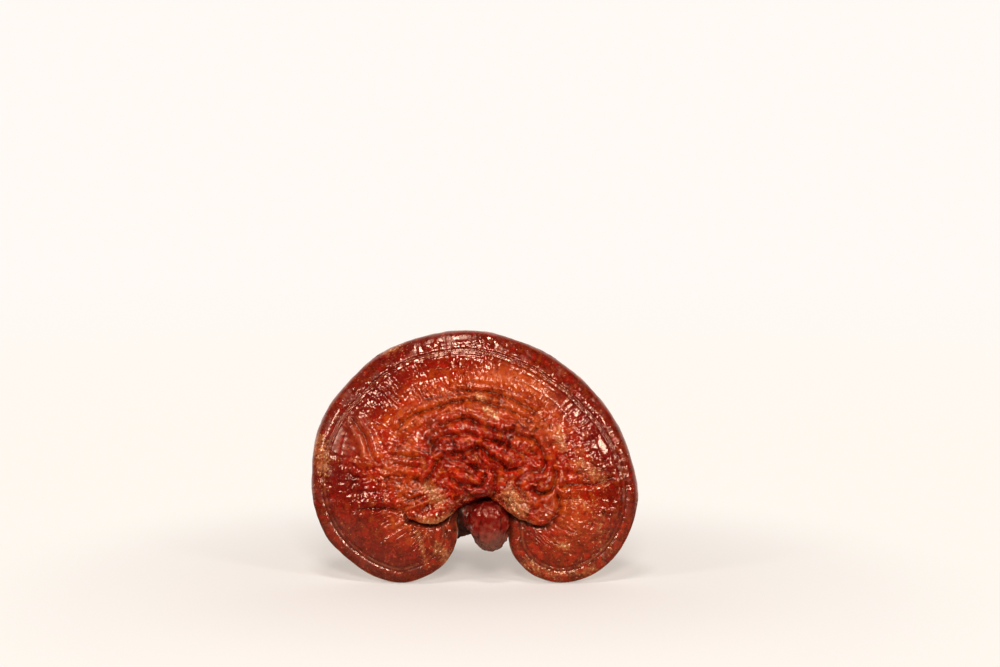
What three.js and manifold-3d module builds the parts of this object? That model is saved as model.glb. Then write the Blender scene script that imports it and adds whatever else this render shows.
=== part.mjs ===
// A dried reishi mushroom that stands on the two lobes of its cap, propped from behind by its stem.
// Millimetres, +Z up. The lacquered face looks along -Y and the stem runs back to a cut end.
// Two pieces: the kidney-shaped cap and the stem.

import * as THREE from "three";
import { mergeVertices } from "three/addons/utils/BufferGeometryUtils.js";
import Module from "manifold-3d";

// How the mushroom stands: the cap leans back, and its lobes touch the ground ahead of the middle
const CAP_LEAN_DEG = 11;
const CAP_RISE = -0.19;
const STAND_X = 0;
const STAND_Y = -27.3;

// The cap's outline in its own plane, across and up, from the top of the notch round the left lobe
const OUTLINE = [
  [3, 29], [-2.5, 27.6], [-6.3, 23.8], [-6, 18.2], [-7.2, 12.6], [-10.8, 7.4], [-16.8, 2.8], [-26, 0],
  [-36, 2], [-45.8, 8], [-53.2, 15.3], [-58.1, 25.2], [-60, 37.4], [-59, 50.5], [-54.6, 63.2],
  [-47.7, 72.4], [-39.6, 80.6], [-28.6, 87.3], [-15.6, 91.3], [-1.7, 92.7], [11.8, 90.4], [25.9, 84.5],
  [38.8, 75.3], [48.6, 64.4], [54.8, 53.5], [58.7, 41.8], [60, 31], [57.6, 19.7], [51, 9], [42.5, 2.5],
  [32, 0], [22.3, 2.4], [15.7, 7.9], [12.9, 13.8], [12.3, 19], [12, 24], [8.6, 27.4],
];
const SECTOR_LENGTH = 5.2;

// Where the growth rays start, and the two points that bend them into the lobes
const CENTRE = [2.4, 38.1];
const LEFT_BEND = { pivot: [-21.9, 24.5], edge: [-6.4, 16.5] };
const RIGHT_BEND = { pivot: [24.5, 22], edge: [12.5, 16.5] };
const BEND_REACH = 12;

// The cap's thickness: half the margin, what the face and the pore side add inside it, and the dome
const RIM = 3.3;
const FACE_SWELL = 4.4;
const FACE_REACH = 13;
const PORE_SWELL = 1.6;
const PORE_REACH = 9;
const DOME = { height: 4.5, centre: [3, 42], across: 62, up: 56 };
const MOUND = { height: 3.6, centre: [2, 41], across: 30, up: 20 };

// Ring places on the face: angles round the rim, depths inside it, then shares of the ray
const RIM_RINGS = 3;
const MARGIN_DEPTHS = [5.2, 6.7, 8, 9.5];
const MARGIN_SHARE = 0.45;
const RAY_START = 0.055;
const FACE_RINGS = 33;
const PORE_RINGS = 5;

// The groove that runs inside the margin
const MARGIN_GROOVE = { depth: 0.7, inside: 6.9, width: 0.9 };

// The lips of the mound over the notch and the lobes: across, up, and how far each point stands out
const LIP = [
  [-39, 27.6, 0], [-31, 27.4, 0.8], [-27, 26.8, 2.4], [-25, 25, 3.6], [-22.6, 22.8, 4.6], [-16.9, 22.1, 5],
  [-12.3, 22.9, 5], [-8.6, 25.6, 4.2], [-5.2, 28, 3.4], [-0.6, 30, 3], [4, 30.6, 3], [8.6, 29.4, 3],
  [11.6, 26.8, 4], [15.4, 24.4, 5], [20.6, 22.6, 5], [25, 21, 4.6], [27.8, 22.3, 3.4], [29.8, 25.6, 2.4],
  [31, 29.4, 1.5], [30.8, 33, 0.6], [30, 36, 0],
];
const LIP_ROUND = 1.7;
const LIP_REACH = 17;
const LIP_CREASE = 0.45;
const LIP_CREASE_WIDTH = 1.5;

// The creases between the growth ridges, and the folds of the mound
const CREASE_WIDTH = 1.45;
const CREASE_FADE = 4;
const CREASE_END = 0.3;
const CREASES = [
  { depth: 1, line: [[-4.2, 69.7], [4.9, 69.4], [12.3, 67], [20.4, 63.5], [23.4, 61.3]] },
  { depth: 1.5, line: [[-29.3, 55], [-23.7, 59.9], [-16.9, 62.5], [-9.8, 65.1], [-3.5, 66.3]] },
  { depth: 1.3, line: [[-3.5, 66.3], [1.7, 66.1], [7.9, 64.4], [13.1, 62.9], [16.9, 61.2]] },
  { depth: 1.7, line: [[-13.1, 56.3], [-7.5, 59], [-1.3, 59], [4.1, 57.2], [9.4, 55.2], [16.4, 55.9]] },
  { depth: 1, line: [[8.3, 56.2], [10.9, 58.5], [14, 59.4]] },
  { depth: 1.8, line: [[-16, 47.8], [-14.6, 50.9], [-10.1, 53.7], [-2.2, 54.5], [9.4, 50.9], [19.6, 45.4]] },
  { depth: 1.7, line: [[13.8, 54.6], [22.5, 51.6], [25.2, 47], [25.9, 43], [24.4, 40.4], [19.1, 40.4]] },
  { depth: 2.3, line: [[-17.8, 35.6], [-16.2, 38.5], [-12, 45.2], [-7.9, 46.7], [1.9, 49.2], [5.6, 46.4]] },
  { depth: 2.1, line: [[5.6, 46.4], [10.5, 43], [12.3, 41.1], [17.4, 42.2]] },
  { depth: 1.5, line: [[-11.8, 45.3], [-7.5, 44.5], [-1.9, 43], [2.8, 41]] },
  { depth: 1, line: [[-31, 46.9], [-24.5, 45.6], [-15.6, 44.8]] },
  { depth: 0.8, line: [[-29, 43.4], [-23.7, 42.2], [-19.5, 42.8]] },
  { depth: 0.8, line: [[-26.4, 31.6], [-21.8, 30.9], [-17.6, 32.6]] },
  { depth: 1.6, line: [[-9.4, 38.8], [-6.4, 36.6], [-0.4, 35.9], [2.8, 37], [4.1, 41]] },
  { depth: 1.4, line: [[-4.6, 35.6], [-1.1, 32.5], [4.5, 30.4], [7.9, 33.2], [7.6, 39], [5.6, 42.4]] },
  { depth: 1.1, line: [[15.4, 39.6], [16.4, 35], [19.6, 30.8]] },
  { depth: 1.4, line: [[20.8, 35.3], [23.4, 32.3], [27.4, 33.6], [30, 38.8], [28, 43.4]] },
  { depth: 1.2, line: [[28.3, 21.4], [30.4, 26.7], [30.6, 31], [28.9, 35.2]] },
  { depth: 1, line: [[30, 34.6], [37.5, 36], [44, 35.8], [50.5, 39]] },
  { depth: 0.9, line: [[-27, 26.6], [-33.5, 27.6], [-44, 26.5]] },
  { depth: 0.9, line: [[-45.5, 61], [-40, 53], [-37.5, 46.5], [-34.5, 43]] },
];

// The lumps of the face: across, up, radius and height
const LUMPS = [
  [-3.4, 40.4, 5, 1.9], [3.1, 34.2, 3.4, 1.5], [8.2, 43.6, 3.2, 0.8], [12.6, 34, 4.4, 1.5],
  [22, 26.4, 6, 1.4], [26.6, 36, 5, 1.1], [-15.8, 28, 7, 1.2], [-11.4, 32.4, 5, 0.9],
  [-24.8, 34, 6, 0.9], [-18.4, 41.4, 4.4, 0.8], [-21, 13, 12, 1.3], [37, 21, 13, 1.2],
];

// The stem: the knob seen in the notch, its neck, and the stalk that flares where it leaves the cap
const KNOB = { centre: [5.2, -0.6, 20.2], radii: [7.6, 8.2, 8.6] };
const NECK = { centre: [5.4, -2.6, 25.4], radii: [7.2, 7, 6] };
const STALK = [
  { at: [3, 0, 31.5], radius: 10.5 },
  { at: [2.2, 8, 30], radius: 12.8 },
  { at: [0.2, 16, 25.6], radius: 9.9 },
  { at: [-3.2, 27, 20.2], radius: 8 },
  { at: [-9.2, 40, 14.4], radius: 6.7 },
  { at: [-15.2, 50.5, 7], radius: 6.8 },
  { at: [-18.6, 57, -4], radius: 7.8 },
];
const STALK_SIDES = 18;
const STALK_STEPS = 22;
const FLUTE = { count: 3, depth: 0.05, twist: 0.25 };
const KNOB_SIDES = 24;
const KNOB_ROWS = 16;
const PIECE_GAP = 0.35;
const GROUND = { size: 200, depth: 20 };

const COLOURS = { cap: 0x8c2a16, stem: 0x4e201c };

const gaussian = (x) => Math.exp(-x * x);
const smooth = (x) => {
  const t = Math.min(Math.max(x, 0), 1);
  return t * t * (3 - 2 * t);
};

// A smooth line through points of two or three numbers each
function curveThrough(points, closed) {
  const vectors = points.map(([x, y, z = 0]) => new THREE.Vector3(x, y, z));
  return new THREE.CatmullRomCurve3(vectors, closed, "catmullrom", 0.5);
}

// The nearest place on a polyline of vectors: distance, side, share of its length and blended z
function nearest(line, u, v) {
  let best = { distance: Infinity };
  for (let i = 0; i + 1 < line.length; i++) {
    const a = line[i];
    const b = line[i + 1];
    const du = b.x - a.x;
    const dv = b.y - a.y;
    const along = ((u - a.x) * du + (v - a.y) * dv) / (du * du + dv * dv);
    const t = Math.min(Math.max(along, 0), 1);
    const distance = Math.hypot(u - a.x - t * du, v - a.y - t * dv);
    if (distance < best.distance) {
      const side = du * (v - a.y) - dv * (u - a.x);
      best = { distance, side, share: (i + t) / (line.length - 1), height: a.z + t * (b.z - a.z) };
    }
  }
  return best;
}

// Outline samples: each control point is one, so that both lobes reach their lowest point
const outlineCurve = curveThrough(OUTLINE, true);
const sectors = OUTLINE.flatMap((start, i) => {
  const end = OUTLINE[(i + 1) % OUTLINE.length];
  const length = Math.hypot(end[0] - start[0], end[1] - start[1]);
  const count = Math.max(1, Math.round(length / SECTOR_LENGTH));
  return Array.from({ length: count }, (_, k) => {
    const t = (i + k / count) / OUTLINE.length;
    const tangent = outlineCurve.getTangent(t);
    return { edge: outlineCurve.getPoint(t), inward: new THREE.Vector3(tangent.y, -tangent.x, 0) };
  });
});

const OUTLINE_STEPS = 400;
const LIP_STEPS = 120;
const CREASE_STEPS = 40;
const outlineLine = outlineCurve.getPoints(OUTLINE_STEPS);
const lipLine = curveThrough(LIP, false).getPoints(LIP_STEPS);
const creaseLines = CREASES.map(({ depth, line }) => {
  const curve = curveThrough(line, false);
  return { depth, points: curve.getPoints(CREASE_STEPS), length: curve.getLength() };
});

function ellipse({ centre, across, up }, u, v) {
  return ((u - centre[0]) / across) ** 2 + ((v - centre[1]) / up) ** 2;
}

const domeHeight = (u, v) => DOME.height * (1 - ellipse(DOME, u, v));

// The quarter round of the rim at a distance inside the outline
function rimHeight(distance) {
  const out = Math.max(RIM - distance, 0);
  return Math.sqrt(Math.max(RIM * RIM - out * out, 0));
}

// The step of the mound's lip above the lobes, with the crease at its foot
function lipHeight(u, v) {
  const { distance, side, height } = nearest(lipLine, u, v);
  const groove = height * LIP_CREASE * gaussian(distance / LIP_CREASE_WIDTH);
  if (side < 0) return -groove;
  return height * (1 - Math.exp(-distance / LIP_ROUND)) * Math.exp(-distance / LIP_REACH) - groove;
}

function creaseDepth(u, v) {
  let depth = 0;
  for (const crease of creaseLines) {
    const { distance, share } = nearest(crease.points, u, v);
    const end = Math.min(share, 1 - share) * crease.length;
    const faded = crease.depth * smooth(CREASE_END + end / CREASE_FADE);
    depth = Math.max(depth, faded * gaussian(distance / CREASE_WIDTH));
  }
  return depth;
}

function lumpHeight(u, v) {
  return LUMPS.reduce((sum, [x, y, radius, height]) => {
    return sum + height * gaussian(Math.hypot(u - x, v - y) / radius);
  }, 0);
}

// Height of the lacquered face and of the pore side above the cap's plane
function faceHeight(u, v) {
  const distance = nearest(outlineLine, u, v).distance;
  const inside = Math.max(distance - RIM, 0);
  const swell = FACE_SWELL * (1 - Math.exp(-inside / FACE_REACH));
  const relief = MOUND.height * Math.exp(-ellipse(MOUND, u, v)) + lumpHeight(u, v) + lipHeight(u, v);
  const groove = MARGIN_GROOVE.depth * gaussian((distance - MARGIN_GROOVE.inside) / MARGIN_GROOVE.width);
  const carved = creaseDepth(u, v) + groove;
  return domeHeight(u, v) + rimHeight(distance) + swell + (relief - carved) * smooth(distance / RIM);
}

function poreHeight(u, v) {
  const distance = nearest(outlineLine, u, v).distance;
  const inside = Math.max(distance - RIM, 0);
  return domeHeight(u, v) - rimHeight(distance) - PORE_SWELL * (1 - Math.exp(-inside / PORE_REACH));
}

// A point of the growth ray that ends at a sector's inner margin, bent round the notch
function rayPoint(sector, share) {
  const start = new THREE.Vector3(...CENTRE, 0);
  const depth = marginDepth(sector, MARGIN_DEPTHS.at(-1));
  const end = sector.edge.clone().addScaledVector(sector.inward, depth);
  const middle = start.clone().lerp(end, 0.5);
  for (const { pivot, edge } of [LEFT_BEND, RIGHT_BEND]) {
    const away = Math.hypot(sector.edge.x - edge[0], sector.edge.y - edge[1]);
    middle.lerp(new THREE.Vector3(...pivot, 0), gaussian(away / BEND_REACH));
  }
  return new THREE.QuadraticBezierCurve3(start, middle, end).getPoint(share);
}

// Margin depths shrink where the notch comes close to the centre
function marginDepth(sector, depth) {
  const room = MARGIN_SHARE * Math.hypot(sector.edge.x - CENTRE[0], sector.edge.y - CENTRE[1]);
  return (depth * Math.min(MARGIN_DEPTHS.at(-1), room)) / MARGIN_DEPTHS.at(-1);
}

// One ring of the cap: a point for each sector, with its height from the given side's function
function ring(place, height) {
  return sectors.map((sector) => {
    const { x, y } = place(sector);
    return new THREE.Vector3(x, y, height(x, y));
  });
}

function capRings() {
  const rimPlace = (k) => (sector) => {
    const depth = RIM * (1 - Math.cos((k * Math.PI) / 2 / RIM_RINGS));
    return sector.edge.clone().addScaledVector(sector.inward, depth);
  };
  const marginPlace = (depth) => (sector) => {
    return sector.edge.clone().addScaledVector(sector.inward, marginDepth(sector, depth));
  };
  const rayPlace = (k, count) => (sector) => {
    return rayPoint(sector, RAY_START + ((1 - RAY_START) * k) / count);
  };
  const rings = [];
  for (let k = 0; k <= FACE_RINGS; k++) rings.push(ring(rayPlace(k, FACE_RINGS), faceHeight));
  for (const depth of MARGIN_DEPTHS.slice(0, -1).reverse()) rings.push(ring(marginPlace(depth), faceHeight));
  for (let k = RIM_RINGS; k > 0; k--) rings.push(ring(rimPlace(k), faceHeight));
  rings.push(ring(rimPlace(0), domeHeight));
  for (let k = 1; k <= RIM_RINGS; k++) rings.push(ring(rimPlace(k), poreHeight));
  for (let k = PORE_RINGS; k >= 0; k--) rings.push(ring(rayPlace(k, PORE_RINGS), poreHeight));
  return rings;
}

// A closed body from rings of equal length, with a point at each end
function skin(rings, first, last) {
  const count = rings[0].length;
  const points = [...rings.flat(), first, last];
  const firstIndex = points.length - 2;
  const lastIndex = points.length - 1;
  const lastRing = (rings.length - 1) * count;
  const index = [];
  for (let j = 0; j < count; j++) {
    const next = (j + 1) % count;
    index.push(firstIndex, next, j);
    index.push(lastIndex, lastRing + j, lastRing + next);
    for (let k = 0; k + 1 < rings.length; k++) {
      const inner = k * count;
      const outer = inner + count;
      index.push(inner + j, inner + next, outer + next);
      index.push(inner + j, outer + next, outer + j);
    }
  }
  return new THREE.BufferGeometry().setFromPoints(points).setIndex(index);
}

function capGeometry() {
  const [u, v] = CENTRE;
  const face = new THREE.Vector3(u, v, faceHeight(u, v));
  const pore = new THREE.Vector3(u, v, poreHeight(u, v));
  return skin(capRings(), face, pore);
}

function ellipsoid({ centre, radii }) {
  const sphere = new THREE.SphereGeometry(1, KNOB_SIDES, KNOB_ROWS);
  return sphere.scale(...radii).translate(...centre);
}

// The stalk: round sections with shallow flutes along a curve, closed at both ends
function stalkGeometry() {
  const path = curveThrough(STALK.map(({ at }) => at), false);
  const radii = curveThrough(STALK.map(({ radius }) => [radius, 0]), false);
  const frames = path.computeFrenetFrames(STALK_STEPS, false);
  const rings = [];
  for (let k = 0; k <= STALK_STEPS; k++) {
    const centre = path.getPointAt(k / STALK_STEPS);
    const radius = radii.getPoint(path.getUtoTmapping(k / STALK_STEPS)).x;
    rings.push(
      Array.from({ length: STALK_SIDES }, (_, j) => {
        const turn = (j / STALK_SIDES) * 2 * Math.PI;
        const r = radius * (1 + FLUTE.depth * Math.cos(FLUTE.count * turn + FLUTE.twist * k));
        return centre
          .clone()
          .addScaledVector(frames.normals[k], r * Math.cos(turn))
          .addScaledVector(frames.binormals[k], r * Math.sin(turn));
      }),
    );
  }
  return skin(rings, path.getPointAt(0), path.getPointAt(1));
}

const wasm = await Module();
wasm.setup();

function solidFrom(geometry) {
  const bare = geometry.clone();
  bare.deleteAttribute("normal");
  bare.deleteAttribute("uv");
  const merged = mergeVertices(bare);
  const vertProperties = new Float32Array(merged.getAttribute("position").array);
  const triVerts = new Uint32Array(merged.index.array);
  return new wasm.Manifold(new wasm.Mesh({ numProp: 3, vertProperties, triVerts }));
}

function geometryFrom(solid) {
  const { vertProperties, triVerts } = solid.getMesh();
  return new THREE.BufferGeometry()
    .setAttribute("position", new THREE.BufferAttribute(vertProperties, 3))
    .setIndex(new THREE.BufferAttribute(triVerts, 1));
}

// The same body with each point moved out along its normal, to leave a gap round it
function grown(geometry, gap) {
  const copy = geometry.clone();
  copy.computeVertexNormals();
  const position = copy.getAttribute("position");
  const normal = copy.getAttribute("normal");
  for (let i = 0; i < position.count; i++) {
    const x = position.getX(i) + gap * normal.getX(i);
    const y = position.getY(i) + gap * normal.getY(i);
    const z = position.getZ(i) + gap * normal.getZ(i);
    position.setXYZ(i, x, y, z);
  }
  return copy;
}

function makeCap() {
  const material = new THREE.MeshStandardMaterial({ color: COLOURS.cap, roughness: 0.25, metalness: 0 });
  const mesh = new THREE.Mesh(capGeometry(), material);
  mesh.name = "cap";
  mesh.position.z = CAP_RISE;
  mesh.rotation.x = THREE.MathUtils.degToRad(90 - CAP_LEAN_DEG);
  mesh.updateMatrix();
  return mesh;
}

// The stem is cut flat at the ground and follows the back of the cap where it grows from it
function makeStem(cap) {
  const ground = new THREE.BoxGeometry(GROUND.size, GROUND.size, GROUND.depth);
  ground.translate(0, 0, -GROUND.depth / 2);
  const around = grown(cap.geometry, PIECE_GAP).applyMatrix4(cap.matrix);
  const solid = solidFrom(stalkGeometry())
    .add(solidFrom(ellipsoid(KNOB)))
    .add(solidFrom(ellipsoid(NECK)))
    .subtract(solidFrom(around))
    .subtract(solidFrom(ground));
  const [whole] = solid.decompose().sort((a, b) => b.volume() - a.volume());
  const material = new THREE.MeshStandardMaterial({ color: COLOURS.stem, roughness: 0.4, metalness: 0 });
  const mesh = new THREE.Mesh(geometryFrom(whole), material);
  mesh.name = "stem";
  return mesh;
}

const mushroom = new THREE.Group();
const cap = makeCap();
mushroom.add(cap, makeStem(cap));
mushroom.position.set(STAND_X, STAND_Y, 0);

export default mushroom;
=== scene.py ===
"""The looks of a dried reishi mushroom that stands on the lobes of its cap, propped by its stem.

Shapes are worked out in millimetres in the cap's own plane, across and up, and then placed.
"""

import math

import bmesh
import bpy
import numpy as np
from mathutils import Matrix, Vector, noise


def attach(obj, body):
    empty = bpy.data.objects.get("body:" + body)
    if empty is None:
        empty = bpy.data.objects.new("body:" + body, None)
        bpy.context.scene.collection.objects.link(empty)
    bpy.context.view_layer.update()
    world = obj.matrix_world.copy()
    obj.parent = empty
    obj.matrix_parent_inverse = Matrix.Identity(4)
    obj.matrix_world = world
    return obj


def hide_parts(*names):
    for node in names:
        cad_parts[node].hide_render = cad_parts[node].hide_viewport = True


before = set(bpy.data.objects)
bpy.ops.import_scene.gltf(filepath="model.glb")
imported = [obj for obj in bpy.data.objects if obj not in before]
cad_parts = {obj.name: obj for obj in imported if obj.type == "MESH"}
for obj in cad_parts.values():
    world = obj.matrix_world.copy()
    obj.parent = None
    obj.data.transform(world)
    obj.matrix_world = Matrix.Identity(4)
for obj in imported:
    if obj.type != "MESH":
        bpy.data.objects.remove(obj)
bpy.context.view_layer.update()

MM = 0.001

# How the mushroom stands, as in the frame
CAP_LEAN = math.radians(11)
CAP_RISE = -0.19
STAND_Y = -27.3

# The cap's outline in its plane, from the top of the notch round the left lobe
OUTLINE = [
    (3, 29), (-2.5, 27.6), (-6.3, 23.8), (-6, 18.2), (-7.2, 12.6), (-10.8, 7.4), (-16.8, 2.8), (-26, 0),
    (-36, 2), (-45.8, 8), (-53.2, 15.3), (-58.1, 25.2), (-60, 37.4), (-59, 50.5), (-54.6, 63.2),
    (-47.7, 72.4), (-39.6, 80.6), (-28.6, 87.3), (-15.6, 91.3), (-1.7, 92.7), (11.8, 90.4), (25.9, 84.5),
    (38.8, 75.3), (48.6, 64.4), (54.8, 53.5), (58.7, 41.8), (60, 31), (57.6, 19.7), (51, 9), (42.5, 2.5),
    (32, 0), (22.3, 2.4), (15.7, 7.9), (12.9, 13.8), (12.3, 19), (12, 24), (8.6, 27.4),
]
SECTORS = 800

# Growth rays: where they start, and the points that bend them into the lobes
CENTRE = (2.4, 38.1)
BENDS = [((-21.9, 24.5), (-6.4, 16.5)), ((24.5, 22), (12.5, 16.5))]
BEND_REACH = 12

# Thickness, the pair of grooves inside the margin, its growth lines, dome and mound
RIM = 3.3
GROOVE_NEAR, GROOVE_FAR = 4.4, 7.4
GROOVE_WIDTH, GROOVE_GAP = 0.42, 1.35
GROWTH_LINES = (2.1, 10.6, 13.8, 17.6)
FACE_SWELL, FACE_REACH = 4.4, 13
PORE_SWELL, PORE_REACH = 1.6, 9
DOME = {"height": 4.5, "centre": (3, 42), "across": 62, "up": 56}
MOUND = {"height": 3.6, "centre": (2, 41), "across": 30, "up": 20}
KNOBBLY = {"centre": (2, 42), "across": 34, "up": 24}

# The lips of the mound over the notch and the lobes: across, up, and how far each point stands out
LIP = [
    (-39, 27.6, 0), (-31, 27.4, 0.4), (-27, 26.8, 1), (-25, 25, 1.8), (-22.6, 22.8, 3), (-16.9, 22.1, 4.4),
    (-12.3, 22.9, 5), (-8.6, 25.4, 4.2), (-5.2, 27.6, 3.4), (-0.2, 29.6, 3), (4.8, 31.4, 3), (8.8, 28.6, 3),
    (11.8, 26.2, 4), (15.4, 24.4, 4.8), (20.6, 22.6, 4.4), (25, 21, 3), (27.8, 22.3, 1.6), (29.8, 25.6, 0.8),
    (31, 29.4, 0.5), (30.8, 33, 0.2), (30, 36, 0),
]
LIP_ROUND, LIP_REACH = 1.2, 17
LIP_GROOVE, LIP_GROOVE_WIDTH = 0.45, 1.5
LIP_HANG, LIP_HANG_REACH = 0.45, 2.2
# How far the painted shadow under a lip reaches, and how soft its end is
UNDER_LIP, UNDER_LIP_FADE = 2.6, 1.8

# Creases of the face: depth and width against CREASE_DEPTH and CREASE_WIDTH, and line
CREASES = dict(
    arc_1=(1.2, 0.6, [(-9.2, 69.2), (-4.2, 69.7), (4.9, 69.4), (12.3, 67), (20.4, 63.5), (23.4, 61.3)]),
    arc_2_left=(1.4, 0.6, [(-29.3, 55), (-23.7, 59.9), (-16.9, 62.5), (-9.8, 65.1), (-3.5, 66.3)]),
    arc_2_right=(1.3, 0.6, [(-3.5, 66.3), (1.7, 66.1), (7.9, 64.4), (13.1, 62.9), (16.9, 61.2)]),
    arc_3=(1.6, 0.7, [(-13.1, 56.3), (-7.5, 59), (-1.3, 59), (4.1, 57.2), (9.4, 55.2), (16.4, 55.9)]),
    arc_3_tip=(1.1, 0.7, [(-6.8, 62.8), (-5, 61.5), (-3.1, 59.4)]),
    arc_3_branch=(1.0, 0.6, [(8.3, 56.2), (10.9, 58.5), (14, 59.4)]),
    arc_4=(1.5, 0.7, [
        (-16, 47.8), (-14.6, 50.9), (-10.1, 53.7), (-5, 53.2), (-2.2, 54.5), (3.4, 52.4), (9.4, 50.9),
        (15.8, 47.9), (19.6, 45.4),
    ]),
    arc_4_right=(1.6, 0.8, [
        (13.8, 54.6), (19.5, 52.6), (22.5, 51.6), (25.2, 47), (25.9, 43), (24.4, 40.4), (19.1, 40.4),
    ]),
    arc_4_up=(1.1, 0.6, [(21, 52.6), (22.5, 55.8), (24.8, 57.2)]),
    arc_right_out=(0.9, 0.6, [(25.6, 48.6), (28.9, 51), (32.4, 51.4)]),
    arc_5=(2.0, 0.8, [
        (-17.8, 35.6), (-16.2, 38.5), (-12, 45.2), (-7.9, 46.7), (-1.1, 48.2), (1.9, 49.2), (5.6, 46.4),
        (10.5, 43), (12.3, 41.1), (17.4, 42.2),
    ]),
    nose_top=(1.7, 0.7, [(-11.8, 45.3), (-7.5, 44.5), (-1.9, 43), (2.8, 41)]),
    left_1=(1.1, 0.6, [(-31, 46.9), (-24.5, 45.6), (-18.8, 45.4), (-15.6, 44.8)]),
    left_2=(0.9, 0.6, [(-29, 43.4), (-23.7, 42.2), (-19.5, 42.8)]),
    left_3=(0.9, 0.6, [(-26.4, 31.6), (-21.8, 30.9), (-17.6, 32.6)]),
    nose_foot=(1.7, 0.75, [(-9.4, 38.8), (-6.4, 36.6), (-0.4, 35.9), (2.8, 37), (4.1, 41)]),
    centre_lump=(1.3, 0.7, [(-4.6, 35.6), (-1.1, 32.5), (4.5, 30.4), (7.9, 33.2), (7.6, 39), (5.6, 42.4)]),
    right_pocket=(1.5, 0.8, [(20.8, 35.3), (23.4, 32.3), (27.4, 33.6), (30, 38.8), (28, 43.4)]),
    right_groove=(1.3, 0.9, [(28.3, 21.4), (30.4, 26.7), (30.6, 31), (28.9, 35.2)]),
    tan_edge=(1.1, 0.8, [(15.4, 39.6), (16.4, 35), (19.6, 30.8)]),
    radial_right=(1.2, 0.8, [(30, 34.6), (37.5, 36), (44, 35.8), (50.5, 39)]),
    radial_left=(1.1, 0.6, [(-27, 26.6), (-33.5, 27.6), (-44, 26.5)]),
    fold_left=(1.1, 0.7, [(-45.5, 61), (-40, 53), (-37.5, 46.5), (-34.5, 43)]),
)
CREASE_DEPTH, CREASE_WIDTH = 1.7, 0.8
CREASE_REACH, CREASE_FADE, CREASE_END = 8, 3.5, 0.25
PILLOW, PILLOW_AWAY, PILLOW_WIDTH = 1.15, 2, 1.8
# How dark the painted shade at the foot of each crease is, and how wide
FOOT_SHADE, FOOT_WIDTH = 0.85, 0.34

# Patches where the wrinkles are strong, and where the skin is calm: across, up, radius and how much
ROUGH = [
    (-44, 36, 10, 0.9), (-28, 35, 10, 0.7), (-41, 65, 8, 0.6), (-22, 15, 5, 0.4), (35, 16, 8, 0.8),
    (42, 43, 8, 0.7), (22, 29, 8, 0.9), (-17, 28, 8, 0.9), (0, 42, 16, 0.5), (24, 52, 8, 0.4),
]
CALM = [
    (-43, 53, 9, 1.1), (-46, 20, 7, 0.8), (-34, 7, 8, 0.5), (47, 22, 7, 0.5), (-50, 51, 5, 0.6),
    (20, 9, 6, 0.3), (1.5, 33.2, 4.4, 1),
]

# The notch, where the rim's light line stops, and how far from it the rays crowd together
NOTCH = [(3, 24, 9, 4)]
NOTCH_CROWD, NOTCH_FADE = 14, 10

# The lumps of the face: across, up, radius and height
LUMPS = [
    (-3.4, 40.4, 5, 1.9), (3.1, 34.2, 3.4, 1.5), (8.2, 43.6, 3.2, 0.8), (12.6, 34, 4.4, 1.5),
    (22, 26.4, 6, 1.4), (26.6, 36, 5, 1.1), (-15.8, 28, 7, 1.2), (-11.4, 32.4, 5, 0.9),
    (-24.8, 34, 6, 0.9), (-18.4, 41.4, 4.4, 0.8), (-21, 13, 12, 1.3), (37, 21, 13, 1.2),
]

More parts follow.
